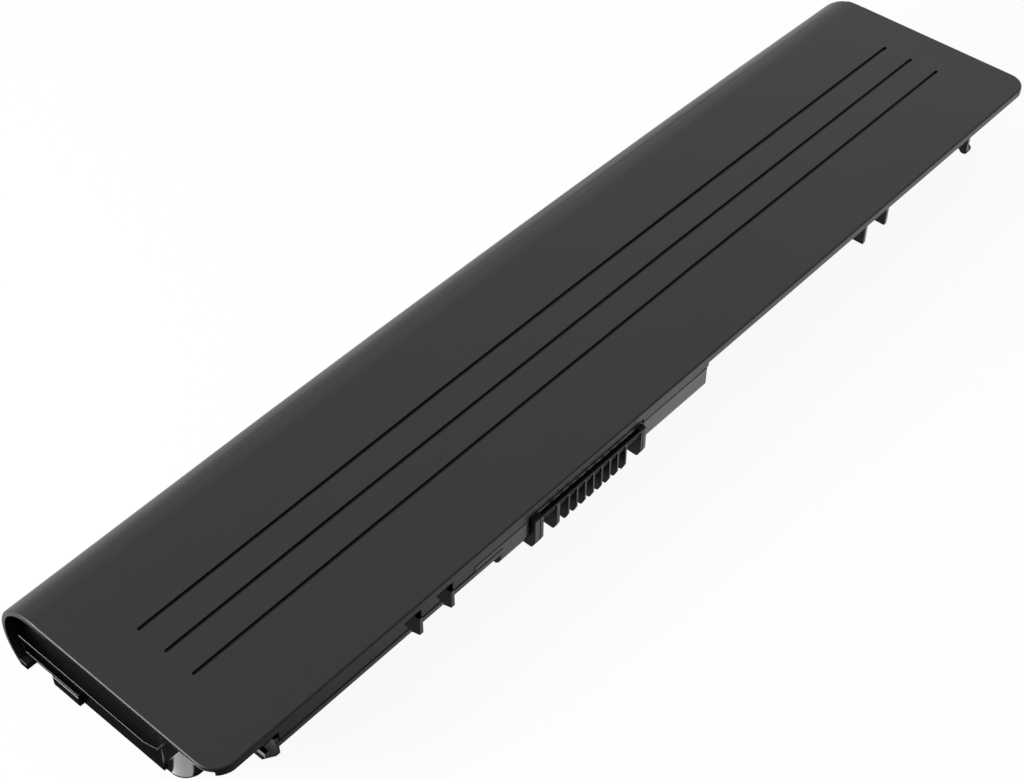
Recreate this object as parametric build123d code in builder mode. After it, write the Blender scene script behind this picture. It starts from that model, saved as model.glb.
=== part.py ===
from build123d import *
import os
from math import asin, degrees, sqrt

# Laptop battery pack, in millimetres. X runs along the pack, Y from the connector side
# to the rolled back edge, and Z up from the face that the pack rests on.

# Cells, two rows laid end to end
cell_diameter = 18.3
cell_length = 65.0
cells_per_row = 4
cell_gap = 0.2
cell_edge = 0.6
button_diameter = 7.2
button_height = 0.4
tape_thickness = 0.15
tape_width = 7.0
tape_margin = 4.0

# Nickel strips between the cells, and the flat leads from their tails to the board: each lead
# has its landing's distance from the board's right end and its run's from the tray's wall
strip_thickness = 0.3
strip_height = 8.0
strip_margin = 4.5
lead_height = 2.0
lead_ribbon = 0.4
lead_bend = 1.2
lead_landing = 4.5
lead_runs = [(9.1, 1.55), (17.5, 1.55), (13.5, 1.55), (1.6, 0.6), (5.1, 1.55)]

# Bottom tray
tray_floor = 0.75
tray_wall = 1.2
end_wall = 1.15
stack_clearance = 0.1
channel_width = 3.1
channel_floor = 1.5
channel_corner = 1.8
spine_height = 5.0
tray_corner = 4.0
shelf_depth = 14.4
ear_width = 3.0
ear_top = 12.0
flange_top = 7.4
flange_thickness = 0.65
flange_reach = 1.6
flange_start = 5.8
flange_taper = 3.0
flange_narrowing = 0.6
leg_lean = 0.7
sill_top = 3.25
seat_clearance = 0.3
panel_start = 5.5
panel_top_reach = 0.15
panel_foot_reach = 0.6
web_foot_start = 6.6
web_overlap = 3.0
web_proud = 0.12
web_reach = 0.7
web_bend_z = 12.0
tab_width = 7.8
tab_reach = 1.75
tab_offset = 0.3

# Top cover
cover_plate = 0.9
cell_headroom = 0.15
end_overhang = 3.0
back_wall = 1.2
roll_radius = 11.75
tuck_radius = 13.9
back_bow = 1.5
foot_width = 2.5
foot_height = 1.65
foot_clearance = 0.2
plate_ramp = 4.5
border_width = 1.6
border_depth = 2.0
corner_radius = 5.0
edge_round = 0.5
skirt_inset = 12.5
skirt_overlap = 0.3
skirt_width = 1.2
skirt_depth = 3.05
skirt_relief = 2.05
deep_skirt_length = 54.0
deep_skirt_depth = 4.4
groove_count = 3
groove_first = 19.6
groove_pitch = 7.58
groove_width = 0.85
groove_depth = 0.6
groove_left_margin = 12.7
groove_right_margin = 11.7

# Connector bay in front of the cells, with the lipped shelf and the hook fins beside it; each hook
# has its distance from the tray's end, its setback from the cover's edge, its depth there and
# how much further its underside falls behind the point
parting_gap = 0.2
bulge_left = -61.0
bulge_length = 65.9
bulge_depth = 10.2
bulge_round = 3.2
bulge_corner = 0.3
bulge_side_round = 0.8
shelf_inset = 8.1
shelf_thickness = 1.35
lip_depth = 5.9
lip_thickness = 3.0
lip_step = 0.15
lip_gap = 0.12
hook_thickness = 0.9
hook_run = 4.8
hook_lean = 0.1
hook_round = 0.25
notch_drop = 2.0
notch_foot = 1.4
notch_depth = 2.0
notch_widths = [2.2, 3.35, 3.35]
left_hooks = [(10.8, 0.0, 8.3, 6.0), (47.45, -0.68, 8.2, 1.9), (56.2, -0.68, 8.2, 1.9)]
right_hooks = [(66.7, 0.7, 8.4, 0.0), (57.9, 0.7, 8.15, 0.0), (22.75, 0.7, 7.3, 0.0)]
nub_diameter = 2.4
nub_length = 1.5
nub_drop = 0.3
rib_width = 1.2
rib_start = 5.5
rib_inset = 5.0
rib_offsets = [9.0, 25.0]
ledge_width = 0.6
ledge_end = 8.5
window_width = 24.2

# Connector comb, measured from its left end
comb_reach = 1.2
comb_inset = 8.9
comb_depth = 2.5
comb_bottom = 11.5
left_post = 2.5
key_wall_offset = 7.05
key_wall = 0.9
fin_count = 8
fin_first = 10.3
fin_pitch = 2.577
fin_thickness = 0.45
right_post_offset = 33.27
right_post = 1.57
slot_depth = 3.8
lead_in_depth = 0.9
lead_in_height = 2.1
lead_in_round = 0.8
rail_height = 0.3
rail_depth = 0.35
rail_drop = 0.85
recess_depth = 1.2
recess_height = 1.3
web_thickness = 0.25
housing_back = 5.0
saddle_depth = 1.4
housing_clearance = 0.5
post_line = 0.2
post_line_offset = 1.5
leaf_thickness = 0.2
leaf_height = 2.2
leaf_spread = 1.3
leaf_length = 1.9
leaf_drop = 1.4
tail_width = 0.8
tail_thickness = 0.3
tail_landing = 0.6
fit_gap = 0.05

# Circuit board and what is soldered to it
board_thickness = 1.0
board_standoff = 2.0
board_clearance = 0.2
board_notch_gap = 0.1
chip_edge = 0.15
chip_raise = 0.1
lead_width = 0.3
lead_reach = 1.0
lead_knee = 0.35
lead_thickness = 0.15
gauge_chip_offset = 8.3
gauge_chip_setback = 3.5
gauge_chip_body = (9.7, 4.4, 1.0)
protection_chip_inset = 3.3
protection_chip_setback = 4.4
protection_chip_body = (3.0, 4.4, 1.0)
power_row_setback = 2.9
transistor_offsets = [8.1, 16.1]
transistor_body = (4.9, 3.9, 1.4)
fuse_offset = 24.1
fuse_body = (4.0, 3.0, 1.0)
shunt_offset = 31.3
shunt_body = (6.4, 3.2, 0.8)
capacitor_body = (2.0, 1.25, 1.0)

# Sizes that follow from those above
cell_radius = cell_diameter / 2
trough_radius = cell_radius + tape_thickness
stack_length = cells_per_row * cell_length + (cells_per_row + 1) * strip_thickness
bay_length = stack_length + 2 * stack_clearance
tray_length = bay_length + 2 * end_wall
length = tray_length + 2 * end_overhang

cell_axis_z = tray_floor + trough_radius
under_cover_z = cell_axis_z + cell_radius + cell_headroom
height = under_cover_z + cover_plate

row_pitch = cell_diameter + cell_gap
front_row_depth = shelf_depth + tray_wall + channel_width + trough_radius
tray_back_depth = front_row_depth + row_pitch + trough_radius + tray_wall
roll_z = height - roll_radius
tuck_in = tuck_radius - sqrt(tuck_radius**2 - roll_z**2)
cover_depth = tray_back_depth + foot_clearance + foot_width + tuck_in

front_y = (comb_reach - cover_depth - back_bow) / 2
back_y = front_y + cover_depth
tray_front_y = front_y + shelf_depth
front_row_y = front_y + front_row_depth
back_row_y = front_row_y + row_pitch
tray_back_y = front_y + tray_back_depth
foot_inner_y = tray_back_y + foot_clearance
roll_y = back_y - roll_radius
tuck_y = back_y - tuck_radius

skirt_z = height - skirt_depth
bulge_right = bulge_left + bulge_length
bulge_top_z = skirt_z - parting_gap
bulge_bottom_z = height - bulge_depth
bulge_floor_z = bulge_bottom_z + tray_wall
board_z = bulge_floor_z + board_standoff
board_top_z = board_z + board_thickness
comb_left = bulge_left + comb_inset
comb_right = comb_left + right_post_offset + right_post
comb_front_y = front_y - comb_reach
comb_top_z = height - comb_depth
comb_bottom_z = height - comb_bottom
housing_back_y = front_y + housing_back
slot_back_y = comb_front_y + slot_depth

strip_xs = [i * (cell_length + strip_thickness) - (stack_length - strip_thickness) / 2
            for i in range(cells_per_row + 1)]
cell_xs = [x + strip_thickness / 2 for x in strip_xs[:-1]]
fin_xs = [comb_left + fin_first + i * fin_pitch for i in range(fin_count)]
slot_xs = [(a + b) / 2 for a, b in zip([comb_left + key_wall_offset] + fin_xs[:-1], fin_xs)]

right_top_z = height - border_depth - parting_gap
left_fins = [(inset - tray_length / 2, set_back, depth, drop, bulge_top_z)
             for inset, set_back, depth, drop in left_hooks]
right_fins = [(tray_length / 2 - inset, set_back, depth, drop, right_top_z)
              for inset, set_back, depth, drop in right_hooks]
skirt_left = skirt_inset - length / 2
deep_skirt_right = skirt_left + deep_skirt_length
deep_skirt_z = height - deep_skirt_depth
lip_top_z = deep_skirt_z - lip_gap
lip_bottom_z = height - lip_depth

os.makedirs("parts", exist_ok=True)


def slab(low, high, mode=Mode.ADD):
    """A straight-sided piece of the part being built, from corner to corner."""
    size = [b - a for a, b in zip(low, high)]
    with Locations(tuple((a + b) / 2 for a, b in zip(low, high))):
        Box(*size, mode=mode)


def upright_edges(builder, half_span, edge_y):
    """The vertical edges at both ends of a long box, at one depth."""
    return builder.edges().filter_by(Axis.Z).filter_by(
        lambda edge: abs(abs(edge.center().X) - half_span) < fit_gap
        and abs(edge.center().Y - edge_y) < fit_gap
    )


def notch_corners(fin_x, width, room):
    """The slanted cut beside a hook fin, seen from the front, with room for the fin on its right."""
    return [
        (fin_x - width, height - notch_drop),
        (fin_x + room, height - notch_drop),
        (fin_x + room, lip_bottom_z),
        (fin_x - notch_foot, lip_bottom_z),
    ]


def write(part, name):
    """Names a finished piece and writes it to its own file."""
    part.label = name
    export_step(part, f"parts/{name}.step")


# Top cover: a straight plate, with the rolled back edge turned about a far upright axis so that
# it stands out a little in the middle, and the room for the cells and the tray cut straight
tuck_angle = degrees(asin(roll_z / tuck_radius))
inner_tuck_angle = degrees(asin((roll_z - foot_height) / (tuck_radius - back_wall)))
bow_radius = (length / 2) ** 2 / (2 * back_bow)
bow_angle = degrees(asin(length / 2 / bow_radius)) + fit_gap
bow_axis = Axis((0, back_y + back_bow - bow_radius, 0), (0, 0, 1))
bow_start = Plane(
    bow_axis.position,
    x_dir=Vector(0, 1, 0).rotate(Axis.Z, bow_angle),
    z_dir=Vector(1, 0, 0).rotate(Axis.Z, bow_angle),
)
bow_shift = bow_radius - back_y
with BuildPart() as top_cover:
    with BuildSketch(Plane.YZ.offset(-length / 2)):
        with BuildLine():
            Polyline(
                (front_y, height - border_depth),
                (front_y, height),
                (roll_y, height),
                (roll_y, height - back_wall),
                (roll_y - plate_ramp, under_cover_z),
                (front_y + border_width, under_cover_z),
                (front_y + border_width, height - border_depth),
                close=True,
            )
        make_face()
    extrude(amount=length)
    with BuildSketch() as plan:
        with Locations((0, front_y)):
            Rectangle(length, cover_depth, align=(Align.CENTER, Align.MIN))
        fillet(plan.vertices().group_by(Axis.Y)[0], corner_radius)
    extrude(amount=height, mode=Mode.INTERSECT)
    rim = top_cover.edges().group_by(Axis.Z)[-1]
    fillet(rim.filter_by(lambda edge: edge.center().Y < roll_y - edge_round), edge_round)
    with BuildSketch(bow_start):
        with BuildLine():
            crown = Line((bow_shift + roll_y - back_bow - fit_gap, height), (bow_shift + roll_y, height))
            CenterArc((bow_shift + roll_y, roll_z), roll_radius, 90, -90)
            tuck = CenterArc((bow_shift + tuck_y, roll_z), tuck_radius, 0, -tuck_angle)
            Polyline(tuck @ 1, (bow_shift + roll_y - back_bow - fit_gap, 0), crown @ 0)
        make_face()
    revolve(axis=bow_axis, revolution_arc=-2 * bow_angle)
    with BuildSketch(Plane.YZ.offset(-length)):
        with BuildLine():
            inner_tuck = CenterArc(
                (tuck_y, roll_z), tuck_radius - back_wall, -inner_tuck_angle, inner_tuck_angle
            )
            inner_roll = CenterArc((roll_y, roll_z), roll_radius - back_wall, 0, 90)
            Polyline(
                inner_roll @ 1,
                (roll_y - plate_ramp, under_cover_z),
                (roll_y - plate_ramp, -foot_height),
                (foot_inner_y, -foot_height),
                (foot_inner_y, foot_height),
                inner_tuck @ 0,
            )
        make_face()
    extrude(amount=2 * length, mode=Mode.SUBTRACT)
    slab((-length / 2, front_y, 0), (length / 2, back_y + 2 * back_bow, height), Mode.INTERSECT)
    slab(
        (skirt_left, front_y, skirt_z),
        (bulge_right + skirt_overlap, front_y + skirt_width, height - border_depth),
    )
    slab((skirt_left, front_y, deep_skirt_z), (deep_skirt_right, front_y + skirt_width, skirt_z))
    with BuildSketch(Plane.XZ.offset(skirt_width - front_y)):
        for (fin_x, *_), width in zip(left_fins, notch_widths):
            with BuildLine():
                Polyline(*notch_corners(fin_x, width, hook_thickness + parting_gap), close=True)
            make_face()
    extrude(amount=-2 * skirt_width - fit_gap, mode=Mode.SUBTRACT)
    slab(
        (comb_left - housing_clearance, front_y - skirt_width, skirt_z - skirt_width),
        (comb_right + housing_clearance, front_y + border_width, height - skirt_relief),
        Mode.SUBTRACT,
    )
    with BuildSketch(Plane.XY.offset(height)):
        for i in range(groove_count):
            groove_y = groove_first + i * groove_pitch
            with BuildLine():
                groove = ThreePointArc(
                    (groove_left_margin - length / 2, front_y + groove_y),
                    (0, front_y + groove_y + back_bow * groove_y / cover_depth),
                    (length / 2 - groove_right_margin, front_y + groove_y),
                )
            trace(line_width=groove_width)
            with Locations(groove @ 0, groove @ 1):
                Circle(groove_width / 2)
    extrude(amount=-groove_depth, mode=Mode.SUBTRACT)
write(top_cover.part, "top_cover")

# Bottom tray: connector bay first, then the block with the cell troughs, the end rims,
# the front shelf and the hook fins
back_wall_z = roll_z + sqrt((roll_radius - back_wall) ** 2 - (tray_back_y - roll_y) ** 2)
ear_bottom_z = foot_height + seat_clearance
inner_tuck_radius = tuck_radius - back_wall
ear_foot_y = tuck_y + sqrt(inner_tuck_radius**2 - (roll_z - ear_bottom_z) ** 2) - seat_clearance
bulge_x = (bulge_left + bulge_right) / 2
shelf_left = shelf_inset - tray_length / 2
with BuildPart() as bottom_tray:
    with BuildSketch(Plane.XY.offset(bulge_bottom_z)) as bay_plan:
        with Locations((bulge_x, front_y + shelf_depth / 2)):
            Rectangle(bulge_length, shelf_depth)
        fillet(bay_plan.vertices().group_by(Axis.Y)[0], bulge_corner)
    extrude(amount=bulge_top_z - bulge_bottom_z)
    with BuildSketch(Plane.YZ.offset(bulge_left)) as bay_section:
        with Locations((front_y, bulge_bottom_z)):
            Rectangle(shelf_depth, bulge_depth, align=(Align.MIN, Align.MIN))
        fillet(bay_section.vertices().group_by(Axis.Y)[0].sort_by(Axis.X)[0], bulge_round)
    extrude(amount=bulge_length, mode=Mode.INTERSECT)
    with BuildSketch(Plane.XZ.offset(-front_y)) as bay_face:
        with Locations((bulge_left, bulge_bottom_z)):
            Rectangle(bulge_length, bulge_depth, align=(Align.MIN, Align.MIN))
        fillet(bay_face.vertices().group_by(Axis.Y)[0], bulge_side_round)
    extrude(amount=-shelf_depth, mode=Mode.INTERSECT)
    for wall_x in (bulge_left, bulge_right - tray_wall):
        slab(
            (wall_x, front_y + border_width + parting_gap, bulge_floor_z),
            (wall_x + tray_wall, tray_front_y, under_cover_z),
        )
    with BuildSketch(Plane.YZ.offset(bulge_left + tray_wall)) as bay_room:
        with Locations((front_y + tray_wall, bulge_floor_z)):
            Rectangle(shelf_depth - tray_wall, bulge_depth, align=(Align.MIN, Align.MIN))
        chamfer(bay_room.vertices().group_by(Axis.Y)[0].sort_by(Axis.X)[0], bulge_round / 2)
    extrude(amount=bulge_length - 2 * tray_wall, mode=Mode.SUBTRACT)

    with BuildSketch(Plane.YZ.offset(shelf_left)):
        with BuildLine():
            Polyline(
                (front_y + skirt_width + parting_gap, bulge_top_z),
                (front_y + skirt_width + parting_gap, lip_top_z),
                (front_y - lip_step, lip_top_z),
                (front_y - lip_step, lip_bottom_z),
                (front_y + lip_thickness, lip_bottom_z),
                (front_y + lip_thickness, bulge_top_z - shelf_thickness),
                (tray_front_y, bulge_top_z - shelf_thickness),
                (tray_front_y, bulge_top_z),
                close=True,
            )
        make_face()
    extrude(amount=bulge_left + tray_wall / 2 - shelf_left)
    slab(
        (deep_skirt_right + lip_gap, front_y, lip_top_z),
        (bulge_left + tray_wall / 2, front_y + lip_thickness, bulge_top_z),
    )
    with BuildSketch(Plane.XZ.offset(2 * lip_step - front_y)):
        for (fin_x, *_), width in zip(left_fins, notch_widths):
            with BuildLine():
                Polyline(*notch_corners(fin_x, width, 0), close=True)
            make_face()
    extrude(amount=-notch_depth - 2 * lip_step, mode=Mode.SUBTRACT)
    for fin_x, set_back, depth, drop, top_z in left_fins + right_fins:
        with BuildSketch(Plane.YZ.offset(fin_x)) as fin:
            with BuildLine():
                Polyline(
                    (front_y + set_back, top_z),
                    (front_y + set_back + hook_lean, height - depth),
                    (front_y + set_back + hook_run, height - depth - drop),
                    (tray_front_y, height - depth - drop),
                    (tray_front_y, top_z),
                    close=True,
                )
            make_face()
            fillet(fin.vertices().sort_by(Axis.X)[1], hook_round)
        extrude(amount=hook_thickness)
    last_fin_x, set_back, depth, drop, top_z = right_fins[-1]
    with BuildSketch(Plane.YZ.offset(last_fin_x + hook_thickness)):
        nub_y = front_y + set_back + hook_lean + nub_diameter / 2
        with Locations((nub_y, height - depth - nub_drop)):
            Circle(nub_diameter / 2)
    extrude(amount=nub_length)

    with BuildSketch(Plane.YZ.offset(-tray_length / 2)):
        with BuildLine():
            Polyline(
                (tray_front_y, 0),
                (tray_back_y, 0),
                (tray_back_y, back_wall_z - seat_clearance),
                (roll_y, height - back_wall - seat_clearance),
                (roll_y - plate_ramp, under_cover_z),
                (tray_front_y, under_cover_z),
                close=True,
            )
        make_face()
    extrude(amount=tray_length)
    fillet(upright_edges(bottom_tray, tray_length / 2, tray_front_y), tray_corner)
    with BuildSketch(Plane.YZ.offset(-bay_length / 2)):
        with Locations((front_row_y, cell_axis_z), (back_row_y, cell_axis_z)):
            Circle(trough_radius)
        with Locations((0, spine_height)):
            Rectangle(2 * cover_depth, height, align=(Align.CENTER, Align.MIN), mode=Mode.SUBTRACT)
        with Locations((tray_front_y + tray_wall, channel_floor)):
            Rectangle(channel_width, height, align=(Align.MIN, Align.MIN))
        with Locations((tray_front_y + tray_wall, spine_height)):
            Rectangle(
                tray_back_y - tray_front_y - 2 * tray_wall, height, align=(Align.MIN, Align.MIN)
            )
    extrude(amount=bay_length, mode=Mode.SUBTRACT)
    fillet(upright_edges(bottom_tray, bay_length / 2, tray_front_y + tray_wall), channel_corner)

    ear_back_y = tray_back_y + ear_width
    tab_y = back_row_y + tab_offset
    for ear_x, flange_x in (
        (-tray_length / 2, -tray_length / 2 - flange_reach),
        (tray_length / 2 - end_wall, tray_length / 2),
    ):
        with BuildSketch(Plane.YZ.offset(ear_x)):
            with BuildLine():
                Polyline(
                    (tray_back_y - tray_wall, ear_bottom_z),
                    (ear_foot_y, ear_bottom_z),
                    (ear_back_y, flange_top),
                    (ear_back_y, ear_top),
                    (tray_back_y - tray_wall, ear_top),
                    close=True,
                )
            make_face()
        extrude(amount=end_wall)
        with BuildSketch(Plane.YZ.offset(flange_x)):
            with BuildLine():
                Polyline(
                    (tray_front_y + flange_start, flange_top),
                    (ear_back_y, flange_top),
                    (ear_back_y - leg_lean, sill_top - flange_thickness),
                    (tab_y - tab_width / 2, sill_top - flange_thickness),
                    (tab_y - tab_width / 2, sill_top),
                    (ear_back_y - leg_lean - flange_thickness, sill_top),
                    (ear_back_y - flange_thickness, flange_top - flange_thickness),
                    (tray_front_y + flange_start, flange_top - flange_thickness),
                    close=True,
                )
            make_face()
        extrude(amount=flange_reach)
    for side in (-1, 1):
        with BuildSketch(Plane.XZ.offset(-tray_front_y - panel_start)):
            with BuildLine():
                Polyline(
                    (side * (tray_length - end_wall) / 2, 0),
                    (side * (tray_length / 2 + panel_foot_reach), 0),
                    (side * (tray_length / 2 + panel_top_reach), flange_top - flange_thickness),
                    (side * (tray_length - end_wall) / 2, flange_top - flange_thickness),
                    close=True,
                )
            make_face()
        extrude(amount=tray_front_y + panel_start - tray_back_y)
        with BuildSketch(Plane.YZ.offset(side * (tray_length / 2 + web_proud))):
            with BuildLine():
                Polyline(
                    (tray_front_y + web_foot_start, 0),
                    (tray_front_y + web_foot_start + web_overlap, 0),
                    (tray_front_y + web_foot_start + web_overlap, under_cover_z),
                    (tray_front_y - web_reach, under_cover_z),
                    (tray_front_y - web_reach, web_bend_z),
                    close=True,
                )
            make_face()
        extrude(amount=-side * end_wall)
        with BuildSketch(Plane.XY.offset(flange_top)):
            rim_x = side * (tray_length / 2 + flange_reach)
            with BuildLine():
                Polyline(
                    (rim_x, tray_front_y + flange_start),
                    (rim_x - side * flange_narrowing, tray_front_y + flange_start),
                    (rim_x, tray_front_y + flange_start + flange_taper),
                    close=True,
                )
            make_face()
        extrude(amount=-flange_thickness, mode=Mode.SUBTRACT)
    slab(
        (-tray_length / 2 - tab_reach, tab_y - tab_width / 2, 0),
        (-tray_length / 2, tab_y + tab_width / 2, sill_top - flange_thickness),
    )

    slab(
        (comb_left - housing_clearance, front_y - 1, bulge_bottom_z - 1),
        (comb_right + housing_clearance, housing_back_y + housing_clearance, bulge_top_z + 1),
        Mode.SUBTRACT,
    )
    slab(
        (bulge_right - tray_wall - window_width, tray_front_y - fit_gap, bulge_floor_z),
        (bulge_right - tray_wall, tray_front_y + tray_wall + fit_gap, under_cover_z),
        Mode.SUBTRACT,
    )
    for rib_x in [bulge_left + rib_inset] + [comb_left + offset for offset in rib_offsets]:
        slab(
            (rib_x - rib_width / 2, front_y + rib_start, bulge_floor_z),
            (rib_x + rib_width / 2, tray_front_y, board_z),
        )
    slab(
        (bulge_right - tray_wall - ledge_width, front_y + border_width, bulge_floor_z),
        (bulge_right - tray_wall, front_y + ledge_end, board_z),
    )
write(bottom_tray.part, "bottom_tray")

# Connector comb: one section drawn along the pack, cut into slots by the rows of fins
key_wall_x = comb_left + key_wall_offset
walls = [(comb_left, comb_left + left_post), (key_wall_x - key_wall / 2, key_wall_x + key_wall / 2)]
walls += [(x - fin_thickness / 2, x + fin_thickness / 2) for x in fin_xs]
walls += [(comb_right - right_post, comb_right)]
rail_z = comb_top_z - rail_drop
rail_back_y = comb_front_y + rail_depth
recess_z = rail_z - recess_height
with BuildPart() as connector_housing:
    with BuildSketch(Plane.YZ.offset(comb_left)) as comb_section:
        with BuildLine():
            Polyline(
                (comb_front_y, comb_bottom_z + lead_in_height),
                (comb_front_y + lead_in_depth, comb_bottom_z),
                (housing_back_y, comb_bottom_z),
                (housing_back_y, board_top_z),
                (housing_back_y + saddle_depth, board_top_z),
                (housing_back_y + saddle_depth, comb_top_z),
                (front_y, comb_top_z),
                (front_y, rail_z),
                (comb_front_y, rail_z),
                close=True,
            )
        make_face()
        fillet(comb_section.vertices().group_by(Axis.Y)[0].sort_by(Axis.X)[0], lead_in_round)
    extrude(amount=comb_right - comb_left)
    for (_, slot_left), (slot_right, _) in zip(walls, walls[1:]):
        slab(
            (slot_left, comb_front_y - 1, comb_bottom_z - 1),
            (slot_right, slot_back_y, recess_z - web_thickness),
            Mode.SUBTRACT,
        )
        slab(
            (slot_left, comb_front_y - 1, comb_bottom_z - 1),
            (slot_right, rail_back_y, rail_z - rail_height),
            Mode.SUBTRACT,
        )
    slab(
        (walls[0][1], rail_back_y, recess_z),
        (walls[-1][0], front_y + recess_depth, rail_z),
        Mode.SUBTRACT,
    )
    for line_x in (comb_left + post_line_offset, comb_right - right_post * 2 / 3):
        slab(
            (line_x - post_line / 2, comb_front_y - 1, comb_bottom_z - 1),
            (line_x + post_line / 2, comb_front_y + post_line, comb_top_z + 1),
            Mode.SUBTRACT,
        )
    for slot_x in slot_xs:
        slab(
            (slot_x - tail_width / 2 - fit_gap, slot_back_y - fit_gap, board_top_z - fit_gap),
            (slot_x + tail_width / 2 + fit_gap, housing_back_y + 2 * saddle_depth,
             board_top_z + tail_thickness + fit_gap),
            Mode.SUBTRACT,
        )
write(connector_housing.part, "connector_housing")

# Contacts: two spring leaves in each narrow slot and a tail soldered to the board
with BuildPart() as connector_contacts:
    with BuildSketch(Plane.XY.offset(board_top_z - leaf_drop)):
        with Locations([(x, slot_back_y) for x in slot_xs]):
            Rectangle(leaf_spread + 2 * leaf_thickness, leaf_length, align=(Align.CENTER, Align.MAX))
        with Locations([(x, slot_back_y - leaf_thickness) for x in slot_xs]):
            Rectangle(leaf_spread, leaf_length, align=(Align.CENTER, Align.MAX), mode=Mode.SUBTRACT)
    extrude(amount=leaf_height)
    with BuildSketch(Plane.XY.offset(board_top_z)):
        tail_end_y = housing_back_y + saddle_depth + tail_landing
        with Locations([(x, (slot_back_y + tail_end_y) / 2) for x in slot_xs]):
            Rectangle(tail_width, tail_end_y - slot_back_y)
    extrude(amount=tail_thickness)
write(connector_contacts.part, "connector_contacts")

# Circuit board, notched around the comb
board_left = bulge_left + tray_wall + board_clearance
board_right = bulge_right - tray_wall - board_clearance
board_front_y = front_y + tray_wall + 2 * board_clearance
board_back_y = tray_front_y - 2 * board_clearance
with BuildPart() as circuit_board:
    with BuildSketch(Plane.XY.offset(board_z)):
        with Locations((board_left, board_front_y)):
            Rectangle(
                board_right - board_left, board_back_y - board_front_y, align=(Align.MIN, Align.MIN)
            )
        with Locations(((comb_left + comb_right) / 2, board_front_y)):
            Rectangle(
                comb_right - comb_left + 2 * housing_clearance,
                2 * (housing_back_y + board_notch_gap - board_front_y),
                mode=Mode.SUBTRACT,
            )
    extrude(amount=board_thickness)
write(circuit_board.part, "circuit_board")


def leaded_chips(places, body, lead_count, lead_pitch, turned=False):
    """Flat chip bodies with a row of bent leads along both sides, standing on the board."""
    body_x, body_y, body_z = body
    with BuildPart() as chips:
        for x, y in places:
            across = (0, 1, 0) if turned else (1, 0, 0)
            seat = Plane((x, y, board_top_z), x_dir=across, z_dir=(0, 0, 1))
            with BuildSketch(seat.offset(chip_raise)):
                Rectangle(body_x, body_y)
            extrude(amount=body_z)
            with BuildSketch(seat):
                with GridLocations(lead_pitch, body_y + lead_reach, lead_count, 2):
                    Rectangle(lead_width, lead_reach)
            extrude(amount=lead_thickness)
            with BuildSketch(seat):
                with GridLocations(lead_pitch, body_y + lead_knee, lead_count, 2):
                    Rectangle(lead_width, lead_knee)
            extrude(amount=chip_raise + body_z / 2)
    return chips.part


# Parts on the board: those of the power path in a row behind the comb, the chips at its ends
power_row_y = board_back_y - power_row_setback
gauge_chip_place = (comb_right + gauge_chip_offset, board_front_y + gauge_chip_setback)
protection_chip_place = (board_left + protection_chip_inset, board_front_y + protection_chip_setback)
transistor_places = [(comb_left + offset, power_row_y) for offset in transistor_offsets]
write(leaded_chips([gauge_chip_place], gauge_chip_body, 10, 0.9), "gauge_chip")
write(leaded_chips([protection_chip_place], protection_chip_body, 4, 0.65), "protection_chip")
write(leaded_chips(transistor_places, transistor_body, 4, 1.1, True), "power_transistors")

with BuildPart() as cutoff_fuse:
    with BuildSketch(Plane.XY.offset(board_top_z)):
        with Locations((comb_left + fuse_offset, power_row_y)):
            Rectangle(fuse_body[0], fuse_body[1])
    extrude(amount=fuse_body[2])
    chamfer(cutoff_fuse.faces().sort_by(Axis.Z)[-1].edges(), chip_edge)
write(cutoff_fuse.part, "cutoff_fuse")

with BuildPart() as current_shunt:
    with BuildSketch(Plane.XY.offset(board_top_z)):
        with Locations((comb_left + shunt_offset, power_row_y)):
            Rectangle(shunt_body[0], shunt_body[1])
    extrude(amount=shunt_body[2])
    chamfer(current_shunt.faces().sort_by(Axis.Z)[-1].edges().filter_by(Axis.X), chip_edge)
write(current_shunt.part, "current_shunt")

with BuildPart() as board_capacitors:
    with BuildSketch(Plane.XY.offset(board_top_z)):
        with Locations(
            (comb_right + housing_clearance + capacitor_body[1], board_front_y + 2 * capacitor_body[1]),
            (comb_right + housing_clearance + capacitor_body[1], board_front_y + 4 * capacitor_body[1]),
            (board_left + protection_chip_inset, board_back_y - capacitor_body[1]),
            (comb_left + capacitor_body[0], power_row_y + capacitor_body[1]),
            (comb_left + capacitor_body[0], power_row_y - capacitor_body[1]),
        ):
            Rectangle(capacitor_body[0], capacitor_body[1])
    extrude(amount=capacitor_body[2])
write(board_capacitors.part, "board_capacitors")

# Cells: one can turned about its axis, then set out in the two rows
with BuildPart() as cell:
    with BuildSketch():
        with BuildLine():
            Polyline(
                (0, 0),
                (0, button_diameter / 2),
                (button_height, button_diameter / 2),
                (button_height, cell_radius - cell_edge),
                (button_height + cell_edge, cell_radius),
                (cell_length, cell_radius),
                (cell_length, 0),
                close=True,
            )
        make_face()
    revolve(axis=Axis.X)
for row_name, row_y in (("front", front_row_y), ("back", back_row_y)):
    for i, cell_x in enumerate(cell_xs):
        write(Pos(cell_x, row_y, cell_axis_z) * cell.part, f"cell_{row_name}_{i + 1}")

for row_name, row_y in (("front", front_row_y), ("back", back_row_y)):
    with BuildPart() as cell_tape:
        with BuildSketch(Plane.YZ.offset(-bay_length / 2 + tape_margin)):
            with Locations((row_y, cell_axis_z)):
                Circle(trough_radius)
                Circle(cell_radius, mode=Mode.SUBTRACT)
                Rectangle(
                    tape_width, 2 * trough_radius, align=(Align.CENTER, Align.MAX), mode=Mode.INTERSECT
                )
        extrude(amount=bay_length - 2 * tape_margin)
    write(cell_tape.part, f"cell_tape_{row_name}")

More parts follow.
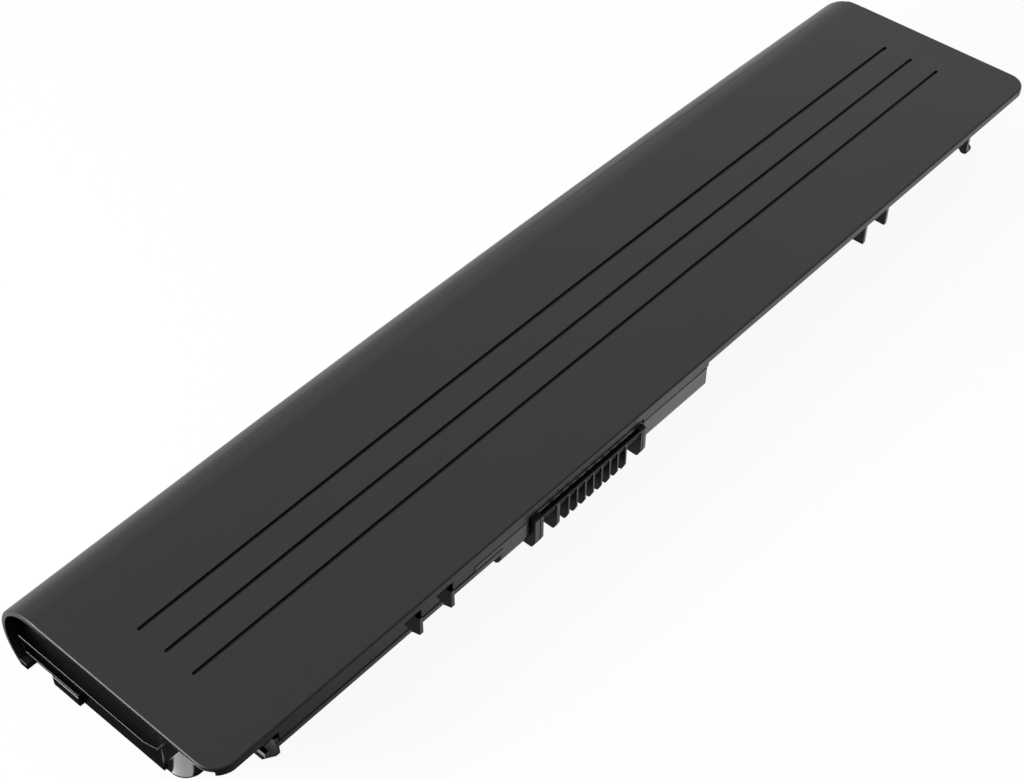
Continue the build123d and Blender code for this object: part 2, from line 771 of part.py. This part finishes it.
# Nickel strips between the cells, each with a tail into the channel in front of them, and the
# flat lead from that tail to the board: the two end leads pass over the board, the rest under it
for i, (strip_x, (landing, run)) in enumerate(zip(strip_xs, lead_runs)):
    at_end = i in (0, cells_per_row)
    lead_z = board_top_z if at_end else board_z - lead_height
    lead_x = board_right - landing
    channel_y = tray_front_y + tray_wall + run
    with BuildPart() as nickel_strip:
        with BuildSketch(Plane.YZ.offset(strip_x - strip_thickness / 2)):
            with Locations(((front_row_y + back_row_y) / 2, cell_axis_z)):
                Rectangle(row_pitch + 2 * strip_margin, strip_height)
            with Locations((channel_y - lead_ribbon / 2, cell_axis_z)):
                Rectangle(
                    front_row_y - channel_y, lead_z + lead_height - cell_axis_z, align=(Align.MIN, Align.MIN)
                )
        extrude(amount=strip_thickness)
    write(nickel_strip.part, f"nickel_strip_{i + 1}")

    inner_face = strip_thickness / 2 if strip_x < lead_x else -strip_thickness / 2
    with BuildPart() as lead:
        with BuildSketch(Plane.XY.offset(lead_z)):
            with BuildLine():
                FilletPolyline(
                    (strip_x + inner_face, channel_y),
                    (lead_x, channel_y),
                    (lead_x, board_back_y - lead_landing),
                    radius=lead_bend,
                )
            trace(line_width=lead_ribbon)
        extrude(amount=lead_height)
    write(lead.part, f"lead_ribbon_{i + 1}")
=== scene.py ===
import bpy
import bmesh
from math import radians, sin, cos, pi
from mathutils import Matrix, Vector
from mathutils.bvhtree import BVHTree


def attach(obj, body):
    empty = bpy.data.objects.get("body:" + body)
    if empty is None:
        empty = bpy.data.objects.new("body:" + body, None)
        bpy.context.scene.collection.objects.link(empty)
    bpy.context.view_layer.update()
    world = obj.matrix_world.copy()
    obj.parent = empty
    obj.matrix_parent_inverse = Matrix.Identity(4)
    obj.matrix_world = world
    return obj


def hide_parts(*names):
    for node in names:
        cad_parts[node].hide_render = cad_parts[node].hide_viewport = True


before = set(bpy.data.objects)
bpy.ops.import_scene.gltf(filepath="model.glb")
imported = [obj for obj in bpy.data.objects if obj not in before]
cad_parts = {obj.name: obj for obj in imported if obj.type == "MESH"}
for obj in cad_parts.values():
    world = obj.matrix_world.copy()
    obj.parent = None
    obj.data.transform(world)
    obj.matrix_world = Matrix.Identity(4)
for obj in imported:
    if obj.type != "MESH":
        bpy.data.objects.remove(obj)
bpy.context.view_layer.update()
mm = 0.001
scene = bpy.context.scene
print("solids loaded:", len(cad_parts))


def linear(hexColour):
    # sRGB hex to the linear colour that a socket takes
    parts = [int(hexColour[i:i + 2], 16) / 255 for i in (1, 3, 5)]
    return tuple(c / 12.92 if c <= 0.04045 else ((c + 0.055) / 1.055) ** 2.4 for c in parts) + (1.0,)


def addNode(tree, kind, settings=None, values=None, links=None):
    # one node, with its settings, its socket values and what feeds it
    node = tree.nodes.new(kind)
    for name, value in (settings or {}).items():
        setattr(node, name, value)
    for socket, value in (values or {}).items():
        node.inputs[socket].default_value = value
    for socket, source in (links or {}).items():
        tree.links.new(source, node.inputs[socket])
    return node


def startMaterial(name, values):
    # a new material, its tree, its shader and the Object coordinates its patterns read
    material = bpy.data.materials.new(name)
    material.use_nodes = True
    tree = material.node_tree
    tree.nodes.clear()
    shader = addNode(tree, "ShaderNodeBsdfPrincipled", values=values)
    addNode(tree, "ShaderNodeOutputMaterial", links={"Surface": shader.outputs["BSDF"]})
    place = addNode(tree, "ShaderNodeTexCoord").outputs["Object"]
    return material, tree, shader, place


# Camera: where the lens stood, in millimetres, and how it was turned
photoCamera = {
    "place": (-237.1, -190.65, 300.85),
    "azimuth": -48.4,
    "elevation": 45.39,
    "roll": 0.07,
    "focalPixels": 1896.8,
    "imageWidth": 1024,
    "sensorWidth": 36.0,
    "nearClip": 10.0,
}


def makeCamera(spec):
    az, el, roll = (radians(spec[k]) for k in ("azimuth", "elevation", "roll"))
    back = Vector((sin(az) * cos(el), -cos(az) * cos(el), sin(el)))
    right = Vector((cos(az), sin(az), 0))
    up = back.cross(right)
    turned = (right * cos(roll) + up * sin(roll), up * cos(roll) - right * sin(roll), back)
    lens = bpy.data.cameras.new("photoCamera")
    lens.sensor_fit = "HORIZONTAL"
    lens.sensor_width = spec["sensorWidth"]
    lens.lens = spec["focalPixels"] * spec["sensorWidth"] / spec["imageWidth"]
    lens.clip_start = spec["nearClip"] * mm
    camera = bpy.data.objects.new("photoCamera", lens)
    scene.collection.objects.link(camera)
    place = Matrix.Translation(Vector(spec["place"]) * mm)
    camera.matrix_world = place @ Matrix(turned).transposed().to_4x4()
    scene.camera = camera


makeCamera(photoCamera)
scene.view_settings.view_transform = "Standard"
print("camera placed")

# Studio: a white tent that is brightest behind the pack on the right, over a white table
studio = {
    "tentColour": "#F7F9FF",
    "brightSide": (0.35, 0.85, 0.40),   # the tent is brightest this way
    "fade": (-0.6, 0.9),                # how far a direction leans that way where the fade starts and ends
    "darkest": 0.22,
    "brightest": 1.00,
    "tentWhite": 0.15,                  # share of plain white in what the plastic reflects of the tent
    "tableColour": "#F8F8F8",
    "tableSize": 4000.0,
    "tableWhite": 0.93,                 # share of plain white to the eye, the rest takes the shadow
    "mirrorRun": (-145.0, -5.0),        # mm along the pack: what it reflects of the table is painted darker to the left, as painted shade
    # painted levels of the reflected table: painted shade at the left end, painted light at the right
    "paintedFalloffLevels": (0.06, 1.22),
    "mirrorEdge": (28.0, 40.0),         # mm from the pack's long axis: and is painted dark underneath, as a painted shadow of the pack
    # level of the painted shadow under the pack, as reflections see it
    "paintedShadowUnderPack": 0.27,
    "paintedLightBehindPack": 1.10,                 # painted light on the side behind the pack, where it doesn't dim
}
plainWhite = linear("#FFFFFF")
# In millimetres: a softbox that draws the left-hand edges, and a small white card lying at the near corner
lamps = {
    "edgeSoftbox": {"place": (-605, 300, 240), "aim": (-130, 0, 10), "size": (340, 300), "radiance": 17.0},
    "cornerCard": {"place": (-137, -21, 0.4), "aim": (-137, -21, 100), "size": (14, 16), "radiance": 3.7},
}


def rayShares(tree, seen, mirrored):
    # the shares of white that the eye sees, straight or through glass, and that reflections see
    path = addNode(tree, "ShaderNodeLightPath")
    straight = addNode(tree, "ShaderNodeMath", {"operation": "MAXIMUM"}, links={
        0: path.outputs["Is Camera Ray"], 1: path.outputs["Is Transmission Ray"]})
    eye = addNode(tree, "ShaderNodeMath", {"operation": "MULTIPLY"}, {1: seen}, {0: straight.outputs[0]})
    gloss = addNode(tree, "ShaderNodeMath", {"operation": "MULTIPLY"}, {1: mirrored},
                    {0: path.outputs["Is Glossy Ray"]})
    return eye.outputs[0], gloss.outputs[0]


def makeTent(spec):
    world = bpy.data.worlds.new("whiteTent")
    scene.world = world
    world.use_nodes = True
    tree = world.node_tree
    tree.nodes.clear()
    way = addNode(tree, "ShaderNodeTexCoord").outputs["Generated"]
    side = addNode(tree, "ShaderNodeVectorMath", {"operation": "DOT_PRODUCT"},
                   {1: Vector(spec["brightSide"]).normalized()}, {0: way})
    level = addNode(tree, "ShaderNodeMapRange", {"interpolation_type": "SMOOTHSTEP"},
                    {"From Min": spec["fade"][0], "From Max": spec["fade"][1],
                     "To Min": spec["darkest"], "To Max": spec["brightest"]},
                    {"Value": side.outputs["Value"]})
    light = addNode(tree, "ShaderNodeBackground", values={"Color": linear(spec["tentColour"])},
                    links={"Strength": level.outputs["Result"]})
    white = addNode(tree, "ShaderNodeBackground", values={"Color": plainWhite, "Strength": 1.0})
    eye, gloss = rayShares(tree, 1.0, spec["tentWhite"])
    share = addNode(tree, "ShaderNodeMath", {"operation": "MAXIMUM"}, links={0: eye, 1: gloss})
    seen = addNode(tree, "ShaderNodeMixShader", links={
        0: share.outputs[0], 1: light.outputs["Background"], 2: white.outputs["Background"]})
    addNode(tree, "ShaderNodeOutputWorld", links={"Surface": seen.outputs["Shader"]})


def makeTable(spec):
    # white laminate: to the eye it shows white and still takes the pack's shadow; reflections see a glow with
    # painted shade to the left, a painted shadow under the pack and painted light behind it
    bm = bmesh.new()
    bmesh.ops.create_grid(bm, x_segments=1, y_segments=1, size=spec["tableSize"] * mm / 2)
    mesh = bpy.data.meshes.new("table")
    bm.to_mesh(mesh)
    bm.free()
    table = bpy.data.objects.new("table", mesh)
    scene.collection.objects.link(table)
    material = bpy.data.materials.new("whiteLaminate")
    material.use_nodes = True
    tree = material.node_tree
    tree.nodes.clear()
    matte = addNode(tree, "ShaderNodeBsdfDiffuse", values={"Color": linear(spec["tableColour"])})
    white = addNode(tree, "ShaderNodeEmission", values={"Color": plainWhite, "Strength": 1.0})
    across = addNode(tree, "ShaderNodeSeparateXYZ", links={
        0: addNode(tree, "ShaderNodeTexCoord").outputs["Object"]})
    aside = addNode(tree, "ShaderNodeMath", {"operation": "ABSOLUTE"}, links={0: across.outputs["Y"]})
    # painted levels of the glow that reflections see: darker to the left, a painted shadow under the pack,
    # painted light behind it
    levels = []
    for source, run, ends in (
        (across.outputs["X"], spec["mirrorRun"], spec["paintedFalloffLevels"]),
        (aside.outputs[0], spec["mirrorEdge"], (spec["paintedShadowUnderPack"], 1.0)),
        (across.outputs["Y"], spec["mirrorEdge"], (0.0, 1.0)),
    ):
        levels.append(addNode(tree, "ShaderNodeMapRange", {}, {
            "From Min": run[0] * mm, "From Max": run[1] * mm, "To Min": ends[0], "To Max": ends[1]},
            {"Value": source}).outputs["Result"])
    paintedShadeLevel = addNode(tree, "ShaderNodeMath", {"operation": "MULTIPLY"}, links={0: levels[0], 1: levels[1]})
    level = addNode(tree, "ShaderNodeMix", {"data_type": "FLOAT"}, {"B": spec["paintedLightBehindPack"]},
                    {"Factor": levels[2], "A": paintedShadeLevel.outputs[0]})
    # the glow with painted shade and painted light that reflections see in place of the table
    mirrored = addNode(tree, "ShaderNodeEmission", values={"Color": plainWhite}, links={
        "Strength": level.outputs["Result"]})
    eye, gloss = rayShares(tree, spec["tableWhite"], 1.0)
    seen = addNode(tree, "ShaderNodeMixShader", links={
        0: eye, 1: matte.outputs["BSDF"], 2: white.outputs["Emission"]})
    mixed = addNode(tree, "ShaderNodeMixShader", links={
        0: gloss, 1: seen.outputs["Shader"], 2: mirrored.outputs["Emission"]})
    addNode(tree, "ShaderNodeOutputMaterial", links={"Surface": mixed.outputs["Shader"]})
    mesh.materials.append(material)


def makeLamp(name, spec):
    width, depth = (s * mm for s in spec["size"])
    lamp = bpy.data.lights.new(name, "AREA")
    lamp.shape = "RECTANGLE"
    lamp.size = width
    lamp.size_y = depth
    lamp.energy = spec["radiance"] * pi * width * depth
    box = bpy.data.objects.new(name, lamp)
    scene.collection.objects.link(box)
    box.visible_camera = False
    place = Vector(spec["place"]) * mm
    aim = Vector(spec["aim"]) * mm - place
    box.matrix_world = Matrix.Translation(place) @ aim.to_track_quat("-Z", "Y").to_matrix().to_4x4()


makeTent(studio)
makeTable(studio)
for name, spec in lamps.items():
    makeLamp(name, spec)
print("studio lit")

# PC/ABS moulded in a spark-eroded steel tool: satin black, with a grit that softens its sheen
coverFinish = {
    "dark": "#060608",
    "pale": "#09090B",
    "roughness": (0.40, 0.44),
    "grit": 0.35,       # mm, coarser than the real 0.1 mm grit so that it shows at all
    "gritDepth": 0.0008,
    "flow": 22.0,       # mm, drifts left by the plastic's flow
}
# PC/ABS from a plainer tool face: a shade glossier, so its edges catch more light
trayFinish = {
    "dark": "#030304",
    "pale": "#050506",
    "roughness": (0.21, 0.25),
    "grit": 0.5,
    "gritDepth": 0.0008,
    "flow": 14.0,
}
# Glass-filled nylon: the fibres' ends mottle the black with fine grey flecks
combFinish = {
    "dark": "#070708",
    "pale": "#101011",
    "roughness": (0.34, 0.42),
    "grit": 0.18,
    "gritDepth": 0.001,
    "flow": 3.0,
}


plasticIor = 1.5
# How each noise is built up, and the levels that most of a noise lies between
gritNoise = {"Detail": 2.0, "Roughness": 0.6}
flowNoise = {"Detail": 3.0, "Roughness": 0.5}
noiseSpan = {"From Min": 0.3, "From Max": 0.7}


def mouldedPlastic(name, spec):
    low, high = spec["roughness"]
    material, tree, shader, place = startMaterial(name, {"IOR": plasticIor})
    grit = addNode(tree, "ShaderNodeTexNoise", {"noise_dimensions": "3D"},
                   {"Scale": 1 / (spec["grit"] * mm), **gritNoise}, {"Vector": place})
    flow = addNode(tree, "ShaderNodeTexNoise", {"noise_dimensions": "3D"},
                   {"Scale": 1 / (spec["flow"] * mm), **flowNoise}, {"Vector": place})
    tone = addNode(tree, "ShaderNodeMix", {"data_type": "RGBA"},
                   {"A": linear(spec["dark"]), "B": linear(spec["pale"])}, {"Factor": grit.outputs["Fac"]})
    sheen = addNode(tree, "ShaderNodeMapRange", {}, {**noiseSpan, "To Min": low, "To Max": high},
                    {"Value": flow.outputs["Fac"]})
    relief = addNode(tree, "ShaderNodeBump", {}, {"Strength": 1.0, "Distance": spec["gritDepth"] * mm},
                     {"Height": grit.outputs["Fac"]})
    tree.links.new(tone.outputs["Result"], shader.inputs["Base Color"])
    tree.links.new(sheen.outputs["Result"], shader.inputs["Roughness"])
    tree.links.new(relief.outputs["Normal"], shader.inputs["Normal"])
    return material


coverPlastic = mouldedPlastic("satinMouldedPcAbs", coverFinish)
trayPlastic = mouldedPlastic("plainMouldedPcAbs", trayFinish)
combPlastic = mouldedPlastic("glassFilledNylon", combFinish)
print("plastics made")

# Mouldings: welded copies of the solids, with the hard edges broken as a steel tool leaves them
mouldings = {
    "top_cover": {"piece": "coverMoulding", "edge": 0.14, "endRound": 0.5, "rollMiddle": (0, 20, 9),
                  "finish": coverPlastic, "slot": "cover_plastic"},
    "bottom_tray": {"piece": "trayMoulding", "edge": 0.14,
                    "finish": trayPlastic, "slot": "tray_plastic"},
    "connector_housing": {"piece": "combMoulding", "edge": 0.06,
                          "finish": combPlastic, "slot": "connector_plastic"},
}
edgeRules = {
    "weld": 0.002,           # mm
    "flat": 0.3,             # degrees: faces this level are one
    "fold": 20.0,            # degrees: a fold is a small triangle that leans more from all its neighbours
    "foldArea": (0.02, 1.0),  # square mm
    "foldReach": 5.0,        # mm: none of a fold's edges is longer
    "sliver": 0.01,          # mm: narrower faces are taken out
    "hard": 40.0,            # degrees: edges sharper than this are broken
    "shortest": 1.2,         # mm: shorter edges stay as the tool cut them
    "round": 25.0,           # degrees: faces that lean less from each other shade as one rounded surface
    "crisp": 50.0,           # degrees: the same for the narrow faces of a broken edge
    "endSide": 0.5,          # a face whose normal has less than this along the pack isn't the end itself
    "underFoot": -0.9,       # a face whose normal points further down is the foot, which stays sharp
    "endSteps": 4,           # faces across the round of an end edge
    "edgeSteps": 2,          # and across a broken edge
}


def settleNormals(mesh, broken):
    # each corner takes the mean, by area, of the faces round it that shade as one with its own
    around = [[] for v in mesh.vertices]
    for face in mesh.polygons:
        for v in face.vertices:
            around[v].append(face)
    leans = {False: cos(radians(edgeRules["round"])), True: cos(radians(edgeRules["crisp"]))}
    normals = []
    for face in mesh.polygons:
        for v in face.vertices:
            mean = Vector()
            for other in around[v]:
                if other.normal.dot(face.normal) > leans[broken[face.index] or broken[other.index]]:
                    mean += other.normal * other.area
            normals.append(mean.normalized() if mean.length else face.normal)
    mesh.normals_split_custom_set(normals)


def mendFolds(bm, spec):
    # folded triangles on the bowed roll are laid flat by turning their longest edge
    folds = []
    least, most = edgeRules["foldArea"]
    for face in bm.faces:
        lean = min(edge.calc_face_angle(0) for edge in face.edges)
        longest = max(face.edges, key=lambda edge: edge.calc_length())
        small = least < face.calc_area() / mm ** 2 < most
        short = longest.calc_length() < edgeRules["foldReach"] * mm
        if small and short and lean > radians(edgeRules["fold"]):
            folds.append(longest)
    bmesh.ops.rotate_edges(bm, edges=folds, use_ccw=False)
    print(spec["piece"], "folds mended:", len(folds))


def roundEnds(bm, spec):
    # the outer edge of the square-cut ends, where the back rolls down, gets the same round as the rim
    reach = max(v.co.x for v in bm.verts)
    hollow = Vector(spec["rollMiddle"]) * mm
    outline = []
    for edge in bm.edges:
        atEnd = all(abs(v.co.x) > reach - edgeRules["weld"] * mm for v in edge.verts)
        if atEnd and edge.calc_face_angle(0) > radians(edgeRules["hard"]):
            side = next(f.normal for f in edge.link_faces if abs(f.normal.x) < edgeRules["endSide"])
            away = edge.verts[0].co - hollow
            away.x = 0
            if side.dot(away) > 0 and side.z > edgeRules["underFoot"]:
                outline.append(edge)
    bmesh.ops.bevel(bm, geom=outline, offset=spec["endRound"] * mm, offset_type="OFFSET", affect="EDGES",
                    segments=edgeRules["endSteps"], profile=0.5, material=-1, clamp_overlap=False)
    bmesh.ops.dissolve_degenerate(bm, dist=edgeRules["sliver"] * mm, edges=bm.edges)
    print(spec["piece"], "end edges rounded:", len(outline))


def makeMoulding(nodeName, spec):
    bm = bmesh.new()
    bm.from_mesh(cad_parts[nodeName].data)
    bmesh.ops.remove_doubles(bm, verts=bm.verts, dist=edgeRules["weld"] * mm)
    if "endRound" in spec:
        mendFolds(bm, spec)
    bmesh.ops.dissolve_limit(bm, angle_limit=radians(edgeRules["flat"]), verts=bm.verts, edges=bm.edges)
    if "endRound" in spec:
        roundEnds(bm, spec)
    skin = BVHTree.FromBMesh(bm)
    hard = [e for e in bm.edges if e.is_convex and e.calc_length() > edgeRules["shortest"] * mm
            and e.calc_face_angle(0) > radians(edgeRules["hard"])]
    bevelled = bmesh.ops.bevel(bm, geom=hard, offset=spec["edge"] * mm, offset_type="OFFSET", affect="EDGES",
                               segments=edgeRules["edgeSteps"], profile=0.5, material=-1, clamp_overlap=False)
    strips = set(bevelled["faces"])
    strays = 0
    for vertex in bm.verts:  # a corner that the bevel threw off the moulding goes back onto it
        onSkin, _, _, gap = skin.find_nearest(vertex.co)
        if gap > spec["edge"] * mm / 2:
            vertex.co = onSkin
            strays += 1
    for face in bm.faces:
        face.smooth = True
    broken = [face in strips for face in bm.faces]
    mesh = bpy.data.meshes.new(spec["piece"])
    bm.to_mesh(mesh)
    bm.free()
    settleNormals(mesh, broken)
    mesh.materials.append(spec["finish"])
    piece = bpy.data.objects.new(spec["piece"], mesh)
    scene.collection.objects.link(piece)
    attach(piece, "root")
    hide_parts(nodeName)
    print(spec["piece"], "edges broken:", len(hard), "strays:", strays)


for nodeName, spec in mouldings.items():
    makeMoulding(nodeName, spec)
print("mouldings finished")


nextUnit = 0.51  # share of a body's length: a point further than this past a middle is in the next body


def unitCentres(nodeNames, axis, unitLength):
    # the middles, along one axis, of the equal bodies that these solids are made of
    along = sorted(v.co[axis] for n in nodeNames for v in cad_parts[n].data.vertices)
    centres = []
    for value in along:
        if not centres or value > centres[-1] + unitLength * mm * nextUnit:
            centres.append(value + unitLength * mm / 2)
    return centres


def distanceFromMiddle(tree, place, axis, centres):
    # how far a point lies from the nearest body's middle, along one axis
    along = addNode(tree, "ShaderNodeSeparateXYZ", links={0: place}).outputs[axis]
    nearest = None
    for centre in centres:
        offset = addNode(tree, "ShaderNodeMath", {"operation": "SUBTRACT"}, {1: centre}, {0: along})
        length = addNode(tree, "ShaderNodeMath", {"operation": "ABSOLUTE"},
                         links={0: offset.outputs[0]}).outputs[0]
        if nearest is None:
            nearest = length
        else:
            nearest = addNode(tree, "ShaderNodeMath", {"operation": "MINIMUM"},
                              links={0: nearest, 1: length}).outputs[0]
    return nearest


evenly = (1, 1, 1)  # a grain that runs no way more than another
mottleNoise = {"Detail": 3.0, "Roughness": 0.55}


def mottle(tree, place, grain, dark, pale, stretch=evenly):
    # a colour that drifts between two tones, with a grain in millimetres, and the noise behind it
    spread = addNode(tree, "ShaderNodeMapping", {"vector_type": "POINT"}, {"Scale": stretch},
                     {"Vector": place})
    noise = addNode(tree, "ShaderNodeTexNoise", {"noise_dimensions": "3D"},
                    {"Scale": 1 / (grain * mm), **mottleNoise}, {"Vector": spread.outputs["Vector"]})
    tone = addNode(tree, "ShaderNodeMix", {"data_type": "RGBA"}, {"A": linear(dark), "B": linear(pale)},
                   {"Factor": noise.outputs["Fac"]})
    return tone.outputs["Result"], noise.outputs["Fac"]


def plainFinish(name, spec):
    # one substance all over, with its grain in the colour, the gloss and a fine relief
    material, tree, shader, place = startMaterial(name, {"Metallic": spec.get("metallic", 0.0)})
    tone, grain = mottle(tree, place, spec["grain"], spec["dark"], spec["pale"], spec.get("stretch", evenly))
    low, high = spec["roughness"]
    gloss = addNode(tree, "ShaderNodeMapRange", {}, {**noiseSpan, "To Min": low, "To Max": high},
                    {"Value": grain})
    relief = addNode(tree, "ShaderNodeBump", {}, {"Strength": 1.0, "Distance": spec["relief"] * mm},
                     {"Height": grain})
    tree.links.new(tone, shader.inputs["Base Color"])
    tree.links.new(gloss.outputs["Result"], shader.inputs["Roughness"])
    tree.links.new(relief.outputs["Normal"], shader.inputs["Normal"])
    return material


def endedFinish(name, spec, nodeNames):
    # a body of one substance with bare metal beyond a distance from its middle
    material, tree, shader, place = startMaterial(name, {})
    centres = unitCentres(nodeNames, spec["axis"], spec["unit"])
    bare = addNode(tree, "ShaderNodeMath", {"operation": "GREATER_THAN"}, {1: spec["bareFrom"] * mm},
                   {0: distanceFromMiddle(tree, place, spec["axis"], centres)}).outputs[0]
    body, grain = mottle(tree, place, spec["grain"], spec["dark"], spec["pale"])
    metal = mottle(tree, place, spec["metalGrain"], *spec["metal"])[0]
    tone = addNode(tree, "ShaderNodeMix", {"data_type": "RGBA"},
                   links={"Factor": bare, "A": body, "B": metal})
    gloss = addNode(tree, "ShaderNodeMix", {"data_type": "FLOAT"},
                    {"A": spec["roughness"], "B": spec["metalRoughness"]}, {"Factor": bare})
    relief = addNode(tree, "ShaderNodeBump", {}, {"Strength": 1.0, "Distance": spec["relief"] * mm},
                     {"Height": grain})
    tree.links.new(tone.outputs["Result"], shader.inputs["Base Color"])
    tree.links.new(bare, shader.inputs["Metallic"])
    tree.links.new(gloss.outputs["Result"], shader.inputs["Roughness"])
    tree.links.new(relief.outputs["Normal"], shader.inputs["Normal"])
    return material


def dress(nodeNames, material):
    # gives these solids a finish and leaves their meshes alone
    for name in nodeNames:
        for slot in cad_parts[name].material_slots:
            slot.link = "OBJECT"
            slot.material = material


# Phosphor bronze stamped and flashed with gold: warm, bright on the springs, duller where it was cut
contactFinish = {"dark": "#A98445", "pale": "#D2AE68", "metallic": 1.0, "grain": 0.7,
                 "roughness": (0.22, 0.38), "relief": 0.001}
dress(["connector_contacts"], plainFinish("goldFlashedBronze", contactFinish))

# Glass-epoxy board under solder mask: deep green with the weave of the glass cloth showing through
boardFinish = {"dark": "#0C3B22", "pale": "#13532F", "weave": 0.5, "waver": 0.6, "waverDetail": 1.0,
               "roughness": 0.32, "relief": 0.006}
waveBand = 0.314  # spacing of a Wave texture's bands at a scale of 1


def makeBoardFinish(spec):
    material, tree, shader, place = startMaterial("solderMaskedGlassEpoxy", {"Roughness": spec["roughness"]})
    threads = []
    for way in ("X", "Y"):
        threads.append(addNode(tree, "ShaderNodeTexWave", {"wave_type": "BANDS", "bands_direction": way},
                               {"Scale": waveBand / (spec["weave"] * mm), "Distortion": spec["waver"],
                                "Detail": spec["waverDetail"]}, {"Vector": place}).outputs["Fac"])
    weave = addNode(tree, "ShaderNodeMath", {"operation": "MULTIPLY"},
                    links={0: threads[0], 1: threads[1]}).outputs[0]
    tone = addNode(tree, "ShaderNodeMix", {"data_type": "RGBA"},
                   {"A": linear(spec["dark"]), "B": linear(spec["pale"])}, {"Factor": weave})
    relief = addNode(tree, "ShaderNodeBump", {}, {"Strength": 1.0, "Distance": spec["relief"] * mm},
                     {"Height": weave})
    tree.links.new(tone.outputs["Result"], shader.inputs["Base Color"])
    tree.links.new(relief.outputs["Normal"], shader.inputs["Normal"])
    return material


dress(["circuit_board"], makeBoardFinish(boardFinish))

# Transfer-moulded epoxy: charcoal with a fine sandy face, and tinned copper leads beside it
chipFinish = {"dark": "#101012", "pale": "#1B1B1E", "grain": 0.25, "roughness": 0.55, "relief": 0.004,
              "metal": ("#B9B9B6", "#D6D6D2"), "metalGrain": 0.8, "metalRoughness": 0.3}
chips = {
    "gauge_chip": {"axis": 1, "unit": 6.4, "bareFrom": 2.21},
    "protection_chip": {"axis": 1, "unit": 6.4, "bareFrom": 2.21},
    "power_transistors": {"axis": 0, "unit": 5.9, "bareFrom": 1.96},
}
for nodeName, spec in chips.items():
    dress([nodeName], endedFinish("mouldedEpoxy_" + nodeName, {**chipFinish, **spec}, [nodeName]))

# Parts fired or rolled with tinned ends: chalky alumina, grey-brown manganin and tan barium titanate
endedParts = {
    "cutoff_fuse": {"name": "firedAlumina", "dark": "#D9D6CC", "pale": "#ECEAE2", "grain": 0.3,
                    "roughness": 0.6, "relief": 0.003, "axis": 0, "unit": 4.0, "bareFrom": 1.35},
    "current_shunt": {"name": "rolledManganin", "dark": "#6E5C4E", "pale": "#857163", "grain": 0.4,
                      "roughness": 0.42, "relief": 0.002, "axis": 0, "unit": 6.4, "bareFrom": 2.1},
    "board_capacitors": {"name": "firedBariumTitanate", "dark": "#8A6A4A", "pale": "#A88661", "grain": 0.2,
                         "roughness": 0.5, "relief": 0.002, "axis": 0, "unit": 2.0, "bareFrom": 0.65},
}
tinnedEnds = {"metal": ("#BDBDB9", "#DADAD6"), "metalGrain": 0.8, "metalRoughness": 0.35}
for nodeName, spec in endedParts.items():
    dress([nodeName], endedFinish(spec["name"], {**spec, **tinnedEnds}, [nodeName]))

# Heat-shrunk PVC sleeve: even slate blue with a soft shine, over nickel-plated steel ends
cellFinish = {"dark": "#2F5A78", "pale": "#37688A", "grain": 6.0, "roughness": 0.36, "relief": 0.01,
              "metal": ("#A3A19C", "#C2C0BB"), "metalGrain": 0.8, "metalRoughness": 0.32,
              "axis": 0, "unit": 65.0, "bareFrom": 31.8}
for row in ("front", "back"):
    cells = [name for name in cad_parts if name.startswith(f"cell_{row}_")]
    dress(cells, endedFinish(f"shrunkPvcSleeve_{row}", cellFinish, cells))

# Rolled nickel: pale and slightly warm, with the rolls' fine lines along it
nickelFinish = {"dark": "#A9A59B", "pale": "#CAC6BC", "metallic": 1.0, "grain": 2.0, "stretch": (1, 1, 8),
                "roughness": (0.24, 0.36), "relief": 0.001}
nickelStrips = [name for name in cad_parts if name.startswith("nickel_strip_")]
dress(nickelStrips, plainFinish("rolledNickel", nickelFinish))

# Flat leads in extruded PVC: one colour for each tap of the stack, with a dull even skin
leadColours = {
    "lead_ribbon_1": ("#15151A", "#1F1F25"),
    "lead_ribbon_2": ("#C9C7BE", "#D9D7CF"),
    "lead_ribbon_3": ("#B08A1C", "#C69E2A"),
    "lead_ribbon_4": ("#1F4C86", "#2A5C9A"),
    "lead_ribbon_5": ("#8E1A1A", "#A52424"),
}
leadFinish = {"grain": 1.5, "roughness": (0.42, 0.52), "relief": 0.002}
for nodeName, (dark, pale) in leadColours.items():
    dress([nodeName], plainFinish("extrudedPvc_" + nodeName, {**leadFinish, "dark": dark, "pale": pale}))

# Fish paper on a foam bed: grey-green board with long pressed fibres
tapeFinish = {"dark": "#6F7468", "pale": "#858A7C", "grain": 0.6, "stretch": (0.25, 1, 1),
              "roughness": (0.7, 0.85), "relief": 0.006}
dress(["cell_tape_front", "cell_tape_back"], plainFinish("pressedFishPaper", tapeFinish))
print("inner parts dressed")
